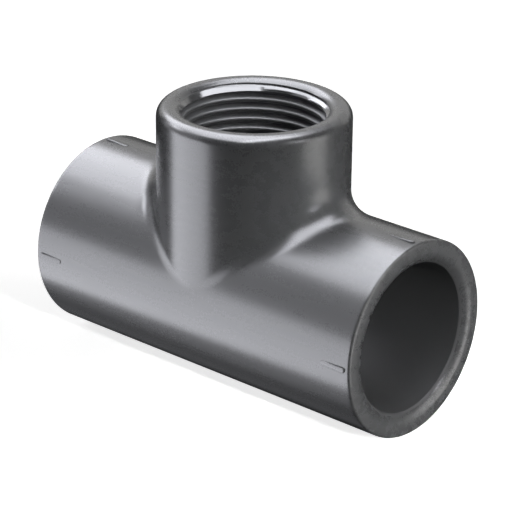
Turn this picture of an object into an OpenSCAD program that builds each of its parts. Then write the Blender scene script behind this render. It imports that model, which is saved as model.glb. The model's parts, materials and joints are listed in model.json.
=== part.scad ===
// Moulded pipe tee: two plain solvent sockets in line and one threaded branch.
// The run lies along X, the branch stands up along Z, and the axes cross at the origin.

/* [Run] */
// Outside diameter of the straight run
run_d = 44; // [43.4:0.1:46]
// Overall length of the run, from end face to end face
run_len = 92.4; // [90:0.2:104]
// Rounding of the outer edge at each end of the run
end_edge_r = 0.5; // [0.2:0.1:1]

/* [Sockets] */
// Inside diameter of each socket, for a pipe 33.4 across
socket_d = 33.6; // [33:0.05:35]
// Depth of each socket, from the end face to the pipe stop
socket_depth = 28.6; // [20:0.2:29]
// Radius of the rounded lead-in at each socket mouth
lead_in_r = 3.4; // [2.8:0.1:4]
// Width of that lead-in, from the socket wall out to the end face
lead_in_w = 2.7; // [1:0.1:2.7]
// Inside diameter of the passage between the two sockets
passage_d = 26.6; // [24:0.1:30]

/* [Branch] */
// Outside diameter of the branch, always less than that of the run
branch_d = 42.8; // [41:0.1:43.2]
// Height of the branch rim above the axis of the run
branch_h = 41.5; // [40:0.1:46]
// Inside diameter of the passage from the branch down to the run
branch_passage_d = 26; // [22:0.1:28]
// Height above the run axis at which the threaded bore ends in a cone
bore_floor_h = 19; // [18.5:0.1:21]
// Rounding of the rim on its outer side
rim_outer_r = 2.5; // [1:0.1:2.6]
// Rounding of the rim on its inner side
rim_inner_r = 2.6; // [1:0.1:2.8]
// Width of the level ring between those two roundings
rim_flat_w = 0.5; // [0.2:0.1:0.8]
// Slope of the lead-in cone inside the rim, from the level
rim_cone_angle = 55; // [45:1:60]

/* [Thread] */
// Pitch of the pipe thread, 11 to the inch
thread_pitch = 2.309; // [1.8:0.001:2.54]
// Diameter across the thread roots
thread_major_d = 33.25; // [32.6:0.01:33.6]
// Width of the flat at the root of each groove
thread_root_w = 0.385; // [0.2:0.005:0.6]
// Width of the flat left on each crest, which is what remains of the bore
thread_crest_w = 0.675; // [0.3:0.005:0.9]
// Angle between the two flanks of the thread
thread_angle = 55; // [50:1:60]
// Depth of full thread, from the rim
thread_depth = 19; // [14:0.1:19.5]

/* [Blend] */
// Radius of the fillet where the branch grows out of the run
blend_r = 6.8; // [4:0.1:8]

/* [Alignment ribs] */
// Length of each alignment rib near the ends of the run
rib_len = 6.6; // [4:0.1:10]
// Width of each rib
rib_w = 1.2; // [0.8:0.1:2]
// Height of each rib above the skin, at its higher end
rib_h = 0.4; // [0.2:0.05:0.6]
// Distance from the end face to each rib
rib_inset = 1.1; // [0.8:0.1:4]

/* [Hidden] */
$fn = 96;
grey = "dimgray";

run_r = run_d / 2;
branch_r = branch_d / 2;
half_len = run_len / 2;
socket_r = socket_d / 2;
root_r = thread_major_d / 2;
// How far cutting shapes run past the faces that they open
past = 5;
// The smallest step between two faces, so that they cross cleanly instead of only touching
hair = 0.005;

// Thread form: straight flanks join the flat roots to the flat crests, and that sets how deep
// the thread is and so how wide the bore is
flank = tan(thread_angle / 2);
thread_height = (thread_pitch - thread_root_w - thread_crest_w) / (2 * flank);
bore_r = root_r - thread_height;

// Lip of the branch, from the outer wall in to the bore. The lead-in cone starts a hair
// inside the inner rounding and ends at the bore.
rim_ring_r = branch_r - rim_outer_r;
rim_round_r = rim_ring_r - rim_flat_w;
cone_top_r = rim_round_r - (rim_inner_r - hair) * sin(rim_cone_angle);
cone_top_h = branch_h - rim_inner_r + (rim_inner_r - hair) * cos(rim_cone_angle);
cone_end_h = cone_top_h - (cone_top_r - bore_r) * tan(rim_cone_angle);

// Socket mouth: the lead-in arc leaves the end face level and meets the wall at a corner
mouth_r = socket_r + lead_in_w;

// The thread's groove is cut by one long coil, whose inner side stands this far inside the bore
cutter_overlap = 0.2;
cutter_inner_r = bore_r - cutter_overlap;
// Least depth of the cutter, where the groove has run out inside the bore
cutter_end_depth = 0.05;
thread_steps = 40;
// The groove comes down from just above the rim, turning from this angle round the branch
thread_start_angle = 145;
thread_run_in = 0.3;
thread_top = branch_h + thread_pitch / 2 + thread_run_in;
fade_steps = thread_steps / 4;
full_steps = ceil((thread_top - branch_h + thread_depth) / thread_pitch * thread_steps);

function half_width(r) = thread_root_w / 2 + (root_r - r) * flank;

// Root radius along the groove: full, then rising out through the bore wall at the inner end
function groove_root(i) =
    i <= full_steps ? root_r
                    : root_r - (root_r - cutter_inner_r - cutter_end_depth) * (i - full_steps) / fade_steps;

function groove_ring(i) =
    let (
        turn = i / thread_steps,
        a = thread_start_angle - 360 * turn,
        h = thread_top - thread_pitch * turn,
        r = groove_root(i),
        w = half_width(r),
        w_in = half_width(cutter_inner_r)
    )
    [
        [r * cos(a), r * sin(a), h + w],
        [r * cos(a), r * sin(a), h - w],
        [cutter_inner_r * cos(a), cutter_inner_r * sin(a), h - w_in],
        [cutter_inner_r * cos(a), cutter_inner_r * sin(a), h + w_in]
    ];

// Skin of a tube swept through rings of equal size, closed at both ends
function tube_faces(rings, size) = concat(
    [for (i = [0 : rings - 2], k = [0 : size - 1], half = [0, 1])
        let (a = i * size + k, b = i * size + (k + 1) % size)
        half == 0 ? [a, b, b + size] : [a, b + size, a + size]],
    [[for (k = [size - 1 : -1 : 0]) k]],
    [[for (k = [0 : size - 1]) (rings - 1) * size + k]]
);

// The same skin joined end to end into a closed ring
function loop_faces(rings, size) = [
    for (i = [0 : rings - 1], k = [0 : size - 1], half = [0, 1])
        let (
            next = (i + 1) % rings,
            a = i * size + k,
            b = i * size + (k + 1) % size,
            c = next * size + (k + 1) % size,
            d = next * size + k
        )
        half == 0 ? [a, c, b] : [a, d, c]
];

module groove_cutter() {
    rings = full_steps + fade_steps + 1;
    polyhedron(
        points = [for (i = [0 : rings - 1]) each groove_ring(i)],
        faces = tube_faces(rings, 4),
        convexity = 10
    );
}

// Blend: a ball of the fillet's radius rolls round the branch while it touches both barrels
blend_steps = 72;
arc_steps = 6;
// The blend's edges dip this far under the two skins, and its buried corner lies this deep
sink = 0.04;
core_depth = 1;

function ball_centre(t) = [
    (branch_r + blend_r) * cos(t),
    (branch_r + blend_r) * sin(t),
    sqrt(pow(run_r + blend_r, 2) - pow((branch_r + blend_r) * sin(t), 2))
];

function to_branch(t) = [-cos(t), -sin(t), 0];

function to_run(t) = let (c = ball_centre(t)) -[0, c.y, c.z] / (run_r + blend_r);

function between(p, q, u) =
    let (whole = acos(p * q)) (sin((1 - u) * whole) * p + sin(u * whole) * q) / sin(whole);

function blend_ring(t) =
    let (
        c = ball_centre(t),
        p = to_branch(t),
        q = to_run(t),
        core_r = branch_r - core_depth
    )
    concat(
        [c + (blend_r + sink) * p],
        [for (k = [1 : arc_steps - 1]) c + blend_r * between(p, q, k / arc_steps)],
        [c + (blend_r + sink) * q],
        [[core_r * cos(t), core_r * sin(t),
            sqrt(pow(run_r - core_depth, 2) - pow(core_r * sin(t), 2))]]
    );

module saddle_blend() {
    size = arc_steps + 2;
    polyhedron(
        points = [for (i = [0 : blend_steps - 1]) each blend_ring(360 * i / blend_steps)],
        faces = loop_faces(blend_steps, size),
        convexity = 10
    );
}

// Half section of the run's barrel with its rounded outer edges, turned about the run axis
module barrel_section() {
    union() {
        translate([0, -half_len]) square([run_r - end_edge_r, run_len]);
        translate([0, -half_len + end_edge_r]) square([run_r, run_len - 2 * end_edge_r]);
        for (side = [-1, 1])
            translate([run_r - end_edge_r, side * (half_len - end_edge_r)]) circle(end_edge_r);
    }
}

// Half section of the branch with its rounded lip, solid inside
module branch_section() {
    union() {
        square([rim_ring_r, branch_h]);
        square([branch_r, branch_h - rim_outer_r]);
        translate([rim_ring_r, branch_h - rim_outer_r]) circle(rim_outer_r);
    }
}

// Half section of what is taken out of the branch: bore, lead-in cone and the lip's inner rounding
module bore_section() {
    difference() {
        polygon([
            [0, bore_floor_h - bore_r],
            [bore_r, bore_floor_h],
            [bore_r, cone_end_h],
            [cone_top_r, cone_top_h],
            [rim_round_r, branch_h - rim_inner_r],
            [rim_round_r, branch_h + past],
            [0, branch_h + past]
        ]);
        translate([rim_round_r, branch_h - rim_inner_r]) circle(rim_inner_r);
    }
}

// Half section of one socket: its straight wall runs out into the rounded mouth
module socket_section() {
    translate([0, half_len - socket_depth]) square([socket_r, socket_depth + past]);
    difference() {
        translate([0, half_len - lead_in_r]) square([mouth_r, lead_in_r + past]);
        translate([mouth_r, half_len - lead_in_r]) circle(lead_in_r);
    }
}

module along_run() {
    rotate([0, 90, 0]) children();
}

// Each rib is a wedge: its top slopes from this far under the skin at the inner end up to its
// full height at the outer end
rib_dip = 0.04;
rib_rise = rib_h + rib_dip;
rib_mid_r = run_r + (rib_h - rib_dip) / 2;

// One slim raised mark with round ends, lying on top of the run, higher towards +X. The cone
// that shapes its top is twice its length, so it rises twice as far.
module alignment_rib() {
    intersection() {
        linear_extrude(run_r + 2 * rib_h)
            for (end = [-1, 1])
                union() {
                    translate([end * (rib_len - rib_w) / 2, 0]) circle(rib_w / 2, $fn = 32);
                    square([rib_len - rib_w, rib_w], center = true);
                }
        along_run()
            cylinder(h = 2 * rib_len, r1 = rib_mid_r - rib_rise, r2 = rib_mid_r + rib_rise, center = true);
    }
}

module alignment_ribs() {
    for (turn = [0, 180], quarter = [0 : 3])
        rotate([90 * quarter, 0, turn])
            translate([half_len - rib_inset - rib_len / 2, 0, 0]) alignment_rib();
}

module tee_body() {
    color(grey)
    difference() {
        union() {
            along_run() rotate_extrude() barrel_section();
            rotate_extrude() branch_section();
            saddle_blend();
            alignment_ribs();
        }
        along_run() cylinder(h = run_len - socket_depth, d = passage_d, center = true);
        cylinder(h = bore_floor_h, d = branch_passage_d);
        for (turn = [90, -90]) rotate([0, turn, 0]) rotate_extrude() socket_section();
        rotate_extrude() bore_section();
        groove_cutter();
    }
}

tee_body();
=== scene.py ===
import json
import math

import bmesh
import bpy
from mathutils import Matrix, Vector


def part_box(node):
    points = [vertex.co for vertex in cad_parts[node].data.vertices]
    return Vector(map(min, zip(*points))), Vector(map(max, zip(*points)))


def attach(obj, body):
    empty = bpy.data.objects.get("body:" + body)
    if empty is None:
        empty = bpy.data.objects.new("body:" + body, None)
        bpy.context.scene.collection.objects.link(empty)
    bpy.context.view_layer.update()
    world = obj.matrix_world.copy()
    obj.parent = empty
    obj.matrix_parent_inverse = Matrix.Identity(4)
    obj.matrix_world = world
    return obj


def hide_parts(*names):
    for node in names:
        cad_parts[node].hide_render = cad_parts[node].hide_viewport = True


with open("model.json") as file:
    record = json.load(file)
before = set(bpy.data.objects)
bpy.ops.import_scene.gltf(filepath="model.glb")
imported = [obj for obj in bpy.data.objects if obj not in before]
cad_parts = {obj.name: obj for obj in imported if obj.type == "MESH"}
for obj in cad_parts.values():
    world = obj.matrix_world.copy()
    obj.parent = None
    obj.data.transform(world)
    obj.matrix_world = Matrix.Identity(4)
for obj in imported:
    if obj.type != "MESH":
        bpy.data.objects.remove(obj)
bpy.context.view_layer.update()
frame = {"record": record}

# %% [markdown]
# This lesson gives a moulded pipe tee its looks. The frame that was just loaded holds the tee as
# a plain solid, with its sizes. The steps below place a camera, rebuild the solid as a finer mesh,
# give it a material, and set up the light that shows it.

# %% [markdown]
# The camera comes first, because every later choice is judged through it. A long lens far from
# a small object keeps the far socket almost as large as the near one, as in a catalogue picture.
# A camera can be aimed with a Track To constraint, which recomputes itself whenever something
# moves. A fixed place and three angles are plainer and never change, so they are used here. The
# small roll is the tilt of the camera on its stand.

# %% Camera
mm = 0.001

camera_place = Vector((350.60, -395.62, 230.66)) * mm
camera_tilt, camera_roll, camera_turn = 66.93, -0.59, 41.69
camera_lens = 181.0


def make_camera():
    data = bpy.data.cameras.new("camera")
    data.lens = camera_lens
    data.sensor_width = 36
    data.clip_start = 0.01
    camera = bpy.data.objects.new("camera", data)
    camera.location = camera_place
    camera.rotation_euler = [math.radians(a) for a in (camera_tilt, camera_roll, camera_turn)]
    bpy.context.collection.objects.link(camera)
    bpy.context.scene.camera = camera
    return camera


camera = make_camera()
print("camera is", round(camera.location.length, 3), "m from the crossing of the axes")

# %% [markdown]
# The tee is a single moulding, so it is rebuilt as a single closed mesh in place of the coarser
# solid that the checks use. The sizes that the frame states aren't typed in again: the overall
# length, the radius of the run and the height of the branch are read from the solid's own box,
# and the radii of the sockets and the threaded bore from the places where pipes are fastened.
# What the frame doesn't state, such as the edge roundings, has its own value here, in metres.

# %% Sizes of the tee
mounts = {m["name"]: m for m in frame["record"]["mounts"]}
low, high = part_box("tee_body")

rib_height = 0.4 * mm
run_radius = -low.z - rib_height
half_length = high.x
branch_top = high.z
branch_radius = 21.4 * mm
socket_radius = mounts["socket_right"]["dims"]["r_mm"] * mm
socket_depth = 28.6 * mm
bore_radius = mounts["branch_thread"]["dims"]["r_mm"] * mm
bore_floor = 19 * mm
run_passage_radius = 13.3 * mm
branch_passage_radius = 13.0 * mm
fillet_radius = 6.8 * mm

end_rounding = 0.5 * mm
mouth_rounding, mouth_width = 3.4 * mm, 2.7 * mm
rim_outer, rim_inner, rim_flat = 2.5 * mm, 2.6 * mm, 0.5 * mm
rim_cone_angle = math.radians(55)

print("run", round(run_radius / mm, 2), "branch top", round(branch_top / mm, 2), "mm")

# %% [markdown]
# A smooth pipe shows every flat spot in its reflections, so the mesh is dense and evenly laid
# out. Boolean cuts between big cylinders would leave slivers along the fillet. Instead the skin
# is planned like a tailor's pattern: strips of quads that run round the branch, flow down over
# the fillet, spread over the run and end at its two ends. One count of columns serves them all,
# so that neighbouring strips share their edge points and merge without a seam.

# %% Columns round the branch and round the run
end_lines = 72
seam_lines = 18
quarter_lines = end_lines + seam_lines
branch_columns = 4 * quarter_lines
run_columns = 2 * end_lines
merge_distance = 0.002 * mm


def sheet(body, rows, columns, place):
    """A grid whose points move to place(u, i): u is 0 to 1 down the rows, i counts columns."""
    made = bmesh.ops.create_grid(body, x_segments=rows, y_segments=columns, size=0.5)
    for vert in made["verts"]:
        u = vert.co.x + 0.5
        column = round((vert.co.y + 0.5) * columns)
        vert.co = place(u, column)


print(branch_columns, "columns round the branch,", run_columns, "round the run")

# %% [markdown]
# Where the branch grows out of the run, the mould has a fillet of constant radius. Machinists
# picture it as a ball that rolls round the branch while it touches both barrels: the ball's
# centre stays one fillet radius outside each skin, and the fillet is the arc between the two
# points of contact. The same picture gives the height of the fillet's upper edge on the branch
# and its lower edge on the run, so the strips above and below start exactly there.

# %% The rolling ball
def ball_centre(turn, on_branch, on_run, ball):
    reach = on_branch + ball
    side = reach * math.sin(turn)
    return Vector((reach * math.cos(turn), side, math.sqrt((on_run + ball) ** 2 - side ** 2)))


def fillet_point(u, turn, on_branch, on_run, ball):
    centre = ball_centre(turn, on_branch, on_run, ball)
    to_branch = Vector((-math.cos(turn), -math.sin(turn), 0))
    to_run = -Vector((0, centre.y, centre.z)).normalized()
    return centre + ball * to_branch.slerp(to_run, u)


def column_turn(column):
    return 2 * math.pi * column / branch_columns


def add_fillet(body, rows):
    sheet(body, rows, branch_columns,
          lambda u, i: fillet_point(u, column_turn(i), branch_radius, run_radius, fillet_radius))


fillet_top = ball_centre(0, branch_radius, run_radius, fillet_radius).z
print("fillet rises to", round(fillet_top / mm, 2), "mm on the sides that face the run's ends")

# %% [markdown]
# The run is a pipe with an oval hole where the branch stands. Unrolled, it is a rectangle with
# an oval in it, and straight lines drawn from the oval to the rectangle's edge give clean strips
# of quads: most lines reach an end of the pipe, and a few reach the seam underneath. Rolling the
# rectangle up again is one sine and one cosine. The inside of the run is the same pattern with
# smaller radii and no fillet, so one function makes both.

# %% A barrel with an oval opening
def edge_of_barrel(column, reach):
    """Where a column's line ends on the unrolled barrel: place along it, angle from its top."""
    quarter, line = divmod(column, quarter_lines)
    if quarter % 2:
        line = quarter_lines - line
    if line <= end_lines:
        along, roll = reach, math.pi * line / end_lines
    else:
        along, roll = reach * (quarter_lines - line) / seam_lines, math.pi
    if quarter in (1, 2):
        along = -along
    if quarter in (2, 3):
        roll = -roll
    return along, roll


def add_barrel(body, rows, radius, hole_radius, ball, reach):
    def place(u, column):
        turn = column_turn(column)
        touch = fillet_point(1, turn, hole_radius, radius, ball)
        hole_roll = math.atan2(touch.y, touch.z)
        along, roll = edge_of_barrel(column, reach)
        x = touch.x + u * (along - touch.x)
        angle = hole_roll + u * (roll - hole_roll)
        return Vector((x, radius * math.sin(angle), radius * math.cos(angle)))

    sheet(body, rows, branch_columns, place)


at_ends = sum(abs(edge_of_barrel(column, 1)[0]) == 1 for column in range(branch_columns))
print(at_ends, "of", branch_columns, "lines reach an end, the others the seam underneath")

# %% [markdown]
# Everything round is turned on a lathe in real life, or at least the mould that made it was. So
# the ends of the run and the mouth of the branch are profiles, drawn as a short chain of points
# with arcs, and spun a full turn about their axis. A profile spun with as many steps as the
# strips have columns lands on the same points.

# %% Profiles that are spun
def arc(centre, radius, start, end, steps):
    """Points on an arc in a profile, from start to end degrees."""
    angles = [math.radians(start + (end - start) * k / steps) for k in range(steps + 1)]
    return [(centre[0] + radius * math.cos(a), centre[1] + radius * math.sin(a)) for a in angles]


def line(start, end, steps):
    """Points on a straight stretch, without its two ends."""
    return [tuple(s + (e - s) * k / steps for s, e in zip(start, end)) for k in range(1, steps)]


def spin_profile(body, points, axis, steps):
    """Spins a profile of (distance from the axis, place along it) a full turn about +X or +Z."""
    if axis == "Z":
        verts = [body.verts.new((r, 0, h)) for r, h in points]
        turn_axis = (0, 0, 1)
    else:
        verts = [body.verts.new((h, 0, r)) for r, h in points]
        turn_axis = (1, 0, 0)
    edges = [body.edges.new(pair) for pair in zip(verts, verts[1:])]
    bmesh.ops.spin(body, geom=verts + edges, cent=(0, 0, 0), axis=turn_axis, angle=2 * math.pi,
                   steps=steps, use_merge=True, use_duplicate=False)


print("a quarter circle in 12 steps has", len(arc((0, 0), 1, 0, 90, 12)), "points")

# %% The mouth of the branch
rim_ring = branch_radius - rim_outer
rim_round = rim_ring - rim_flat
cone_top_radius = rim_round - rim_inner * math.sin(rim_cone_angle)
cone_top = branch_top - rim_inner * (1 - math.cos(rim_cone_angle))
cone_end = cone_top - (cone_top_radius - bore_radius) * math.tan(rim_cone_angle)
branch_wall_top = branch_top - rim_outer
passage_top = bore_floor - (bore_radius - branch_passage_radius)
cone_degrees = math.degrees(rim_cone_angle)
outer_lip_steps, inner_lip_steps, cone_steps, bore_steps = 12, 10, 3, 16
wall_rows, passage_rows = 12, 6


def add_branch_mouth(body):
    inner_centre = (rim_round, branch_top - rim_inner)
    outer_lip = arc((rim_ring, branch_wall_top), rim_outer, 0, 90, outer_lip_steps)
    inner_lip = arc(inner_centre, rim_inner, 90, 90 + cone_degrees, inner_lip_steps)
    bore_start, bore_end = (bore_radius, cone_end), (bore_radius, bore_floor)
    profile = outer_lip + inner_lip
    profile += line(inner_lip[-1], bore_start, cone_steps) + [bore_start]
    profile += line(bore_start, bore_end, bore_steps) + [bore_end]
    profile += [(branch_passage_radius, passage_top)]
    spin_profile(body, profile, "Z", branch_columns)


def add_branch_walls(body):
    def outside(u, column):
        foot = fillet_point(0, column_turn(column), branch_radius, run_radius, fillet_radius)
        return Vector((foot.x, foot.y, branch_wall_top + u * (foot.z - branch_wall_top)))

    def inside(u, column):
        foot = fillet_point(0, column_turn(column), branch_passage_radius, run_passage_radius, 0)
        return Vector((foot.x, foot.y, passage_top + u * (foot.z - passage_top)))

    sheet(body, wall_rows, branch_columns, outside)
    sheet(body, passage_rows, branch_columns, inside)


print("lead-in cone from", round(cone_top / mm, 2), "down to", round(cone_end / mm, 2), "mm")

# %% The two ends of the run
outer_reach = half_length - end_rounding
inner_reach = half_length - socket_depth
mouth_radius = socket_radius + mouth_width
mouth_sweep = math.degrees(math.asin(mouth_width / mouth_rounding))
edge_steps, face_steps, mouth_steps, socket_steps = 5, 3, 8, 14


def add_run_end(body, side):
    edge = arc((run_radius - end_rounding, outer_reach), end_rounding, 0, 90, edge_steps)
    mouth_centre = (mouth_radius, half_length - mouth_rounding)
    mouth = arc(mouth_centre, mouth_rounding, 90, 90 + mouth_sweep, mouth_steps)
    wall_end = (socket_radius, inner_reach)
    stop_end = (run_passage_radius, inner_reach)
    profile = edge + line(edge[-1], mouth[0], face_steps) + mouth
    profile += line(mouth[-1], wall_end, socket_steps) + [wall_end]
    profile += line(wall_end, stop_end, face_steps) + [stop_end]
    spin_profile(body, [(r, side * h) for r, h in profile], "X", run_columns)


print("the rounded lead-in of a socket turns through", round(mouth_sweep, 1), "degrees")

# %% [markdown]
# Now the strips are put together. Points that lie on each other are merged, the normals are made
# to face outwards, and faces that meet at less than the sharp angle are shaded as one smooth
# surface, while real corners, such as the pipe stop, stay crisp.

# %% The plain moulding
sharp_angle = math.radians(28)
fillet_rows, run_rows, run_passage_rows = 16, 34, 16


def shade(body):
    for face in body.faces:
        face.smooth = True
    for edge in body.edges:
        edge.smooth = len(edge.link_faces) == 2 and edge.calc_face_angle() < sharp_angle


def make_moulding():
    body = bmesh.new()
    add_branch_mouth(body)
    add_branch_walls(body)
    add_fillet(body, fillet_rows)
    add_barrel(body, run_rows, run_radius, branch_radius, fillet_radius, outer_reach)
    add_barrel(body, run_passage_rows, run_passage_radius, branch_passage_radius, 0, inner_reach)
    for side in (-1, 1):
        add_run_end(body, side)
    bmesh.ops.remove_doubles(body, verts=body.verts, dist=merge_distance)
    bmesh.ops.recalc_face_normals(body, faces=body.faces)
    return body


moulding = make_moulding()
open_edges = [e for e in moulding.edges if len(e.link_faces) != 2]
print(len(moulding.faces), "faces,", len(open_edges), "open edges,",
      round(moulding.calc_volume() / mm ** 3), "cubic mm before the thread is cut")

# %% [markdown]
# The branch carries a female pipe thread. On the real moulding a threaded core is screwed out of
# the part while it is still warm. Here a cutter does the same: the outline of one groove is spun
# round the branch while every step also moves it down, which makes a helix, and a boolean takes
# it out of the bore. What is left between the turns is the crest, a narrow band of the original
# cylinder. Crests come out of a mould rounded, and it is the rounding that catches the light, so
# the outline flares in an arc where it meets the bore. The arc ends a hair inside the bore, so
# that cutter and bore cross instead of only touching. The groove enters above the rim. At its
# foot the cutter draws back towards the axis over a quarter turn, so that the groove runs out.

# %% The outline of the groove
thread_pitch = 2.309 * mm
thread_root, thread_root_width = 16.625 * mm, 0.385 * mm
thread_depth = 19 * mm
flank_angle = math.radians(27.5)
crest_rounding = 0.53 * mm
crest_overlap = 0.01 * mm
crest_steps = 4
groove_inner = bore_radius - 0.2 * mm


def groove_side():
    """Half the outline as (radius, half width): root, crest's rounding, cutter's inner edge."""
    crest_half = thread_root_width / 2 + (thread_root - bore_radius) * math.tan(flank_angle)
    turn = math.pi / 2 - flank_angle
    tangent = crest_rounding * math.tan(turn / 2)
    centre = (bore_radius + crest_rounding - crest_overlap, crest_half + tangent)
    side = [(thread_root, thread_root_width / 2)]
    for k in range(crest_steps, -1, -1):
        a = turn * k / crest_steps
        across = centre[1] - crest_rounding * math.sin(a)
        side.append((centre[0] - crest_rounding * math.cos(a), across))
    return side + [(groove_inner, centre[1])]


print("crest band left between roundings:",
      round((thread_pitch - 2 * groove_side()[-1][1]) / mm, 3), "mm")

# %% The thread's groove
groove_start = math.radians(145.4)
above_rim = 0.3 * mm
groove_top = branch_top + thread_pitch / 2 + above_rim
steps_per_turn = 120
groove_steps = math.ceil((groove_top - branch_top + thread_depth) / thread_pitch * steps_per_turn)
fade_steps = steps_per_turn // 4


def spin_down(body, geometry, steps):
    """Spins geometry clockwise and down, one pitch for each turn."""
    return bmesh.ops.spin(
        body, geom=geometry, cent=(0, 0, 0), axis=(0, 0, 1),
        dvec=(0, 0, -thread_pitch / steps_per_turn),
        angle=-2 * math.pi * steps / steps_per_turn, steps=steps, use_merge=False,
        use_duplicate=False)["geom_last"]


def make_groove():
    body = bmesh.new()
    side = groove_side()
    outline = side + [(r, -half) for r, half in reversed(side)]
    verts = [body.verts.new((r, 0, groove_top + h)) for r, h in outline]
    edges = [body.edges.new((verts[k - 1], verts[k])) for k in range(len(verts))]
    to_start = Matrix.Rotation(groove_start, 3, "Z")
    bmesh.ops.rotate(body, cent=(0, 0, 0), matrix=to_start, verts=verts)
    end = spin_down(body, verts + edges, groove_steps)
    full = set(body.verts)
    spin_down(body, end, fade_steps)
    fade_start = groove_start - 2 * math.pi * groove_steps / steps_per_turn
    for vert in body.verts:
        if vert not in full:
            gone = (fade_start - math.atan2(vert.co.y, vert.co.x)) % (2 * math.pi)
            drawn_back = gone / (math.pi / 2) * (thread_root - groove_inner)
            vert.co.xy -= vert.co.xy.normalized() * drawn_back
    bmesh.ops.holes_fill(body, edges=[e for e in body.edges if e.is_boundary], sides=len(outline))
    bmesh.ops.recalc_face_normals(body, faces=body.faces)
    return body


groove = make_groove()
print("groove:", len(groove.faces), "faces,", round(groove_steps / steps_per_turn, 2), "turns,",
      sum(e.is_boundary for e in groove.edges), "open edges")

# %% [markdown]
# Eight slim ribs, four round each end, let a plumber line the tee up with marks on the pipe. Each
# is a low wedge: full height near the end face and hardly above the skin at its other end. A disc
# is stretched into a stadium, raised, ramped and given a small bevel, so that its edges catch the
# light as a moulded edge does.

# %% The alignment ribs
rib_length, rib_width, rib_inset = 6.6 * mm, 1.2 * mm, 1.1 * mm
rib_inner_height = 0.12 * mm
rib_root = 0.8 * mm
rib_edge = 0.20 * mm
rib_segments, rib_edge_steps = 24, 3


def add_rib(body, side, quarter):
    made = bmesh.ops.create_circle(body, cap_ends=True, segments=rib_segments,
                                   radius=rib_width / 2)
    verts = made["verts"]
    stretch = (rib_length - rib_width) / 2
    for vert in verts:
        vert.co.x += math.copysign(stretch, vert.co.x)
        vert.co.z = run_radius - rib_root
    foot = list(dict.fromkeys(f for v in verts for f in v.link_faces))
    raised = bmesh.ops.extrude_face_region(body, geom=foot)["geom"]
    crown = [g for g in raised if isinstance(g, bmesh.types.BMVert)]
    for vert in crown:
        slope = 0.5 + vert.co.x / rib_length
        vert.co.z = run_radius + rib_inner_height + (rib_height - rib_inner_height) * slope
    rim = [e for e in body.edges if all(v in crown for v in e.verts)]
    rounded = bmesh.ops.bevel(body, geom=rim, offset=rib_edge, segments=rib_edge_steps,
                              profile=0.5, affect="EDGES", material=-1, clamp_overlap=True)
    verts = [v for v in dict.fromkeys(verts + crown + rounded["verts"]) if v.is_valid]
    if side < 0:
        end_for_end = Matrix.Rotation(math.pi, 3, "Z")
        bmesh.ops.rotate(body, cent=(0, 0, 0), matrix=end_for_end, verts=verts)
    along = side * (half_length - rib_inset - rib_length / 2)
    bmesh.ops.translate(body, vec=(along, 0, 0), verts=verts)
    round_the_run = Matrix.Rotation(quarter * math.pi / 2, 3, "X")
    bmesh.ops.rotate(body, cent=(0, 0, 0), matrix=round_the_run, verts=verts)


# %% Four ribs round each end
ribs = bmesh.new()
for side in (-1, 1):
    for quarter in range(4):
        add_rib(ribs, side, quarter)
bmesh.ops.recalc_face_normals(ribs, faces=ribs.faces)
print("ribs:", len(ribs.faces), "faces,", sum(e.is_boundary for e in ribs.edges), "open edges")

# %% [markdown]
# The boolean modifier joins the ribs to the moulding and cuts the groove. The exact solver keeps
# the body closed. What it gives is copied to a mesh of its own, so that no modifier stays live.
# The cuts leave a few edges too short to see, and those are dissolved.

# %% One closed body
shortest_edge = 0.0005 * mm


def object_from(body, name):
    mesh = bpy.data.meshes.new(name)
    body.to_mesh(mesh)
    body.free()
    made = bpy.data.objects.new(name, mesh)
    bpy.context.collection.objects.link(made)
    return made


def combine(base, tool, operation):
    modifier = base.modifiers.new(operation.lower(), "BOOLEAN")
    modifier.operation = operation
    modifier.solver = "EXACT"
    modifier.object = tool
    graph = bpy.context.evaluated_depsgraph_get()
    mesh = bpy.data.meshes.new_from_object(base.evaluated_get(graph))
    base.modifiers.clear()
    base.data = mesh
    bpy.data.objects.remove(tool)


tee = object_from(moulding, "moulded_tee")
combine(tee, object_from(ribs, "ribs"), "UNION")
combine(tee, object_from(groove, "groove"), "DIFFERENCE")

finished = bmesh.new()
finished.from_mesh(tee.data)
bmesh.ops.dissolve_degenerate(finished, dist=shortest_edge, edges=finished.edges)
bmesh.ops.triangulate(finished, faces=[f for f in finished.faces if len(f.verts) > 4])
shade(finished)
print("tee:", sum(len(f.verts) - 2 for f in finished.faces), "triangles,",
      sum(len(e.link_faces) != 2 for e in finished.edges), "open edges,",
      round(finished.calc_volume() / mm ** 3), "cubic mm")
finished.to_mesh(tee.data)
finished.free()

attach(tee, "root")
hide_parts("tee_body")

# %% [markdown]
# A material is a small program that runs at every point of the surface. Wiring its nodes by hand
# in code is long-winded, so two helpers come first: one wraps a socket so that ordinary
# arithmetic adds Math nodes, and one adds any other node from its settings and inputs.

# %% Two helpers for materials
class Value:
    """A number that varies over the surface. Arithmetic on it adds Math nodes."""

    def __init__(self, finish, socket):
        self.finish, self.socket = finish, socket

    def with_other(self, operation, first, second):
        made = self.finish.node("ShaderNodeMath", {"operation": operation}, {0: first, 1: second})
        return Value(self.finish, made.outputs[0])

    def __add__(self, other):
        return self.with_other("ADD", self, other)

    def __radd__(self, other):
        return self.with_other("ADD", other, self)

    def __sub__(self, other):
        return self.with_other("SUBTRACT", self, other)

    def __rsub__(self, other):
        return self.with_other("SUBTRACT", other, self)

    def __mul__(self, other):
        return self.with_other("MULTIPLY", self, other)

    def __rmul__(self, other):
        return self.with_other("MULTIPLY", other, self)


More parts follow.
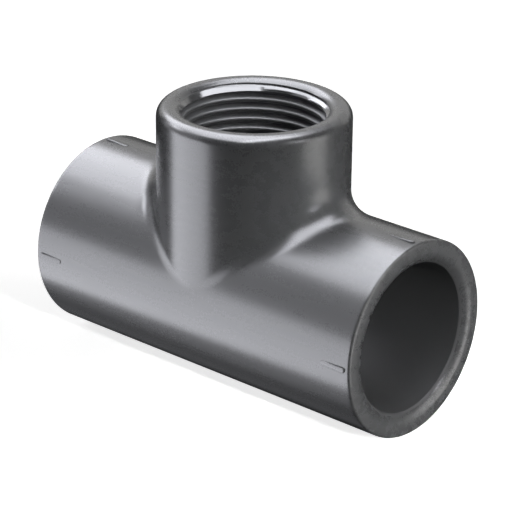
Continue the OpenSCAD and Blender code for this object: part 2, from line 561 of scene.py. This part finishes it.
class Finish:
    """A node material under construction."""

    def __init__(self, name):
        self.material = bpy.data.materials.new(name)
        self.material.use_nodes = True
        self.tree = self.material.node_tree
        self.shader = self.tree.nodes["Principled BSDF"]

    def node(self, kind, settings=None, inputs=None):
        made = self.tree.nodes.new(kind)
        for key, setting in (settings or {}).items():
            setattr(made, key, setting)
        self.connect(made, inputs or {})
        return made

    def connect(self, node, inputs):
        for key, given in inputs.items():
            if isinstance(given, Value):
                given = given.socket
            if isinstance(given, bpy.types.NodeSocket):
                self.tree.links.new(given, node.inputs[key])
            else:
                node.inputs[key].default_value = given


print("helpers ready: arithmetic on a Value adds Math nodes, Finish.node adds any other")

# %% [markdown]
# Two kinds of pattern are needed. Noise gives irregular patches of a chosen size. A ramp turns a
# measure, such as the height or the distance from an axis, into a mask: 0 on one side of a border
# and 1 on the other. Masks multiplied together mark one region of the part. Everything here reads
# Object coordinates, so the patterns stay fixed on the part and keep their real scale.

# %% Noise and masks
def noise(finish, place, size, detail=2.0, stretch=(1, 1, 1)):
    """Patches about as large as size, longer along the axes that are stretched."""
    scale = [1 / (size * s) for s in stretch]
    moved = finish.node("ShaderNodeMapping", inputs={"Vector": place, "Scale": scale})
    made = finish.node("ShaderNodeTexNoise", inputs={
        "Vector": moved.outputs["Vector"], "Scale": 1.0, "Detail": detail, "Roughness": 0.5})
    return Value(finish, made.outputs["Fac"])


def ramp(finish, source, start, end):
    """Rises from 0 to 1 as the source goes from start to end."""
    made = finish.node("ShaderNodeMapRange", inputs={
        "Value": source, "From Min": start, "From Max": end, "To Min": 0.0, "To Max": 1.0})
    return Value(finish, made.outputs["Result"])


def distance_from_axis(finish, place, across):
    """Distance from the axis along which across is 0."""
    flat = finish.node("ShaderNodeVectorMath", {"operation": "MULTIPLY"}, {0: place, 1: across})
    length = finish.node("ShaderNodeVectorMath", {"operation": "LENGTH"},
                         {0: flat.outputs["Vector"]})
    return length.outputs["Value"]


# %% [markdown]
# A core forms the inside of the branch, and another forms each half of the run. Where nothing is
# meant to be seen, in the thread and inside the run, the cores aren't polished and the plastic
# comes out duller. The lead-in cone is the smoothest and glossiest face. These three regions get
# masks, each with a soft border a fifth of a millimetre wide.

# %% Where the gloss differs
dull_bore = thread_root + 0.6 * mm
dull_socket = socket_radius + 0.4 * mm
border = 0.2 * mm


def region_masks(finish, place):
    height = finish.node("ShaderNodeSeparateXYZ", inputs={0: place}).outputs["Z"]
    from_branch = distance_from_axis(finish, place, (1, 1, 0))
    from_run = distance_from_axis(finish, place, (0, 1, 1))
    in_bore = ramp(finish, from_branch, dull_bore, dull_bore - border)
    below_cone = ramp(finish, height, cone_end, cone_end - border)
    above_run = ramp(finish, height, bore_floor - border, bore_floor)
    threaded = in_bore * below_cone * above_run
    in_cone = ramp(finish, from_branch, cone_top_radius + border, cone_top_radius)
    below_rim = ramp(finish, height, cone_top + border, cone_top)
    polished = in_cone * below_rim * (1 - below_cone)
    in_run = ramp(finish, from_run, dull_socket, dull_socket - border)
    return threaded, polished, in_run


print("dull inside", round(dull_bore / mm, 2), "mm of the branch's axis and",
      round(dull_socket / mm, 2), "mm of the run's")

# %% [markdown]
# Rigid PVC comes out of the mould with a satin gloss: the skin copies a polished steel core, but
# the melt shrinks a little as it cools, so reflections waver slightly. The grey is a pigment mixed
# through the plastic, so the colour hardly varies. What does vary is the gloss, which is why the
# noise drives the roughness and a very shallow bump, and the colour only by a few per cent. The
# lead-in cone is less rough than the rest and has a thin clear coat.

# %% Grey PVC
deeper_grey, paler_grey = (0.045, 0.046, 0.048, 1), (0.054, 0.055, 0.057, 1)
satin, satin_by_flow, satin_by_grain = 0.245, 0.04, 0.02
thread_duller, run_duller, cone_smoother = 0.15, 0.35, 0.12
cone_coat = 0.4


def make_grey_pvc():
    finish = Finish("grey_pvc")
    place = finish.node("ShaderNodeTexCoord").outputs["Object"]
    cloud = noise(finish, place, 14 * mm)
    flow = noise(finish, place, 3 * mm, 3, (4, 1, 1))
    grain = noise(finish, place, 0.35 * mm, 2)
    threaded, polished, in_run = region_masks(finish, place)
    tint = finish.node("ShaderNodeMix", {"data_type": "RGBA"}, {
        0: cloud * 0.7 + flow * 0.3, 6: deeper_grey, 7: paler_grey})
    ripple = finish.node("ShaderNodeBump", inputs={
        "Strength": 0.03, "Distance": 0.02 * mm, "Height": flow * 0.6 + grain * 0.4})
    roughness = satin + flow * satin_by_flow + grain * satin_by_grain
    roughness = roughness + threaded * thread_duller + in_run * run_duller
    finish.connect(finish.shader, {
        "Base Color": tint.outputs[2],
        "Roughness": roughness - polished * cone_smoother,
        "Coat Weight": polished * cone_coat,
        "Coat Roughness": 0.1,
        "Normal": ripple.outputs["Normal"],
        "IOR": 1.5,
    })
    return finish.material


grey_pvc = make_grey_pvc()
tee.data.materials.clear()
tee.data.materials.append(grey_pvc)
print("grey_pvc has", len(grey_pvc.node_tree.nodes), "nodes")

# %% [markdown]
# The floor is plain and pale, level with the lowest rib, and a pale shell stands far behind it so
# that low views have no dark horizon. Both glow, like a light table: that keeps them pale without
# a strong lamp, and the tee's soft shadow still shows. A glossy dark object mirrors all that is
# round it, so the tee's skin sees neither of them, whether by mirrored rays or by scattered ones.
# What lights the tee is chosen piece by piece in the next cells.

# %% Floor and backdrop
floor_level = low.z
floor_reach, shell_radius = 3.0, 2.9


def make_stage(name, body, colour, glow):
    made = object_from(body, name)
    finish = Finish(name)
    finish.connect(finish.shader, {"Base Color": (colour, colour, colour, 1), "Roughness": 0.9,
                                   "Specular IOR Level": 0.0, "Emission Color": (1, 1, 1, 1),
                                   "Emission Strength": glow})
    made.data.materials.append(finish.material)
    made.visible_glossy = False
    made.visible_diffuse = False
    made.visible_shadow = False


floor_body = bmesh.new()
bmesh.ops.create_grid(floor_body, x_segments=1, y_segments=1, size=floor_reach)
bmesh.ops.translate(floor_body, vec=(0, 0, floor_level), verts=floor_body.verts)
make_stage("floor", floor_body, colour=0.85, glow=0.72)

shell_body = bmesh.new()
bmesh.ops.create_uvsphere(shell_body, u_segments=48, v_segments=24, radius=shell_radius)
make_stage("backdrop", shell_body, colour=0.0, glow=0.96)
print("floor at", round(floor_level / mm, 2), "mm")

# %% [markdown]
# The eye reads the shape of a glossy dark object from its reflections: long pale bands with soft
# edges, and dark bands between them. A photographer moves lamps and cards until each band lies
# where it should. Every panel here is one such lamp. A surface at a place with a known normal
# mirrors one direction, so each pale band on the real tee gives the direction, the width and the
# strength of the panel that made it. A panel that should only be mirrored, and not light the skin
# as well, has its diffuse rays switched off. Its power is worked out from how bright it looks,
# where 1 is as bright as white paper. Two helpers place them: one by a direction seen from the tee,
# the other as a level piece of a bright ceiling a metre above it.

# %% Panels
cool, neutral = (0.925, 0.935, 1.0), (1.0, 0.995, 0.98)


def add_panel(name, place, size, brightness, tint, lights=False, mirrored=True, level=False):
    data = bpy.data.lights.new(name, "AREA")
    data.shape = "RECTANGLE"
    data.size, data.size_y = size
    data.energy = brightness * math.pi * size[0] * size[1]
    data.color = tint
    panel = bpy.data.objects.new(name, data)
    panel.location = place
    if not level:
        panel.rotation_euler = (-Vector(place)).to_track_quat("-Z", "Y").to_euler()
    panel.visible_camera = False
    panel.visible_diffuse = lights
    panel.visible_glossy = mirrored
    bpy.context.collection.objects.link(panel)
    return panel


def towards(azimuth, elevation, distance):
    """A place seen from the tee in a direction, in degrees from +X and above the horizon."""
    a, e = math.radians(azimuth), math.radians(elevation)
    return distance * Vector((math.cos(a) * math.cos(e), math.sin(a) * math.cos(e), math.sin(e)))


print("azimuth 0 and elevation 0 is", list(towards(0, 0, 1.0)), "seen from the tee")

# %% The ceiling of light
ceiling_height = 1.0


def ceiling_piece(name, left, right, front, back, brightness):
    """A level panel between two places along X and two along Y."""
    place = ((left + right) / 2, (front + back) / 2, ceiling_height)
    add_panel(name, place, (right - left, back - front), brightness, cool, level=True)


ceiling_piece("ceiling_far_left", -1.90, -0.90, -0.30, 0.80, 10.5)
ceiling_piece("ceiling_left", -0.90, -0.55, -0.66, 0.45, 10.5)
ceiling_piece("ceiling_middle", -0.55, 0.10, -0.66, 0.45, 13.5)
ceiling_piece("ceiling_right", 0.10, 0.34, -0.45, 0.52, 12.0)
ceiling_piece("ceiling_front", 0.10, 0.40, -0.66, -0.45, 12.0)
ceiling_piece("ceiling_back", -0.90, -0.15, 0.45, 0.80, 9.5)

# %% [markdown]
# The front of the run and the left of the branch mirror what lies low on the left. Their broad
# pale bands come from one large panel that reaches below the floor, which mirrored rays don't see.
# Two weak ones beside it keep the run's lower edge from going black. The panel wall_right makes
# the band on the branch's right. The others are there for the roundings, which mirror all sides.

# %% Low and upright panels
add_panel("low_left", towards(-130, -20, 1.0), (0.98, 0.85), 6.8, cool)
add_panel("low_middle", towards(-152, -46, 1.0), (0.36, 0.35), 0.9, cool)
add_panel("low_back", towards(170, -50, 1.0), (0.60, 0.40), 0.22, cool)
add_panel("wall_left", towards(-145, 22, 1.4), (1.6, 1.1), 1.8, cool)
add_panel("window_left", towards(-161, 30, 1.6), (0.35, 0.30), 18.0, cool)
add_panel("wall_right", towards(26, -2, 1.0), (0.54, 0.95), 3.3, neutral)
add_panel("window_right", towards(5, 29, 1.2), (0.18, 0.18), 22.0, cool)
add_panel("wall_back", towards(125, 25, 1.5), (3.0, 1.0), 1.0, neutral)

# %% [markdown]
# One card stands close by: upright, over the right edge of the branch, with its face to the left.
# Panels far off can't make the lead-in cone brighter than the blend at the branch's right foot,
# because both mirror the same directions. A lamp shines only from its face, and that part of the
# blend lies behind this one, as does the right end of the run. The far side of the mouth lies in
# front of it, and so the cone mirrors it.

# %% The card by the mouth of the branch
card_place = Vector((23, 2, 96)) * mm
card_height, card_width = 56 * mm, 92 * mm
card = add_panel("mouth_card", card_place, (card_height, card_width), 14.0, cool, level=True)
card.rotation_euler = (0, math.pi / 2, 0)
card_face = card.rotation_euler.to_matrix() @ Vector((0, 0, -1))
print("the card's face looks along", [round(c) for c in card_face])

# %% [markdown]
# Two lamps light the skin itself and aren't mirrored: a broad soft one from the right, and a
# narrow beam that reaches into the near socket, which would otherwise be a black hole. The rest
# of the skin's light is an even glow from all round. The Standard view shows each brightness as
# it was worked out, so the pale ground stays white.

# %% Lamps that light the skin
def add_beam(name, aim, direction, width, power):
    """A narrow soft-edged beam, so wide where it meets the place it is aimed at."""
    data = bpy.data.lights.new(name, "SPOT")
    data.energy = power
    data.color = neutral
    data.spot_size = 2 * math.atan(width / 2 / direction.length)
    data.spot_blend = 0.8
    data.shadow_soft_size = 0.05
    lamp = bpy.data.objects.new(name, data)
    lamp.location = aim + direction
    lamp.rotation_euler = (-direction).to_track_quat("-Z", "Y").to_euler()
    lamp.visible_camera = False
    lamp.visible_glossy = False
    bpy.context.collection.objects.link(lamp)


add_panel("fill_right", towards(20, 20, 1.2), (0.8, 0.8), 5.0, neutral, lights=True,
          mirrored=False)
near_socket = Vector((half_length, 0, 0))
add_beam("socket_beam", near_socket, towards(-22, 22, 0.8), width=50 * mm, power=130.0)

# %% The even glow
world = bpy.data.worlds.new("studio")
world.use_nodes = True
glow = world.node_tree.nodes["Background"]
glow.inputs["Color"].default_value = (1, 1, 1, 1)
glow.inputs["Strength"].default_value = 0.3
bpy.context.scene.world = world
world.cycles_visibility.glossy = False
bpy.context.scene.view_settings.view_transform = "Standard"
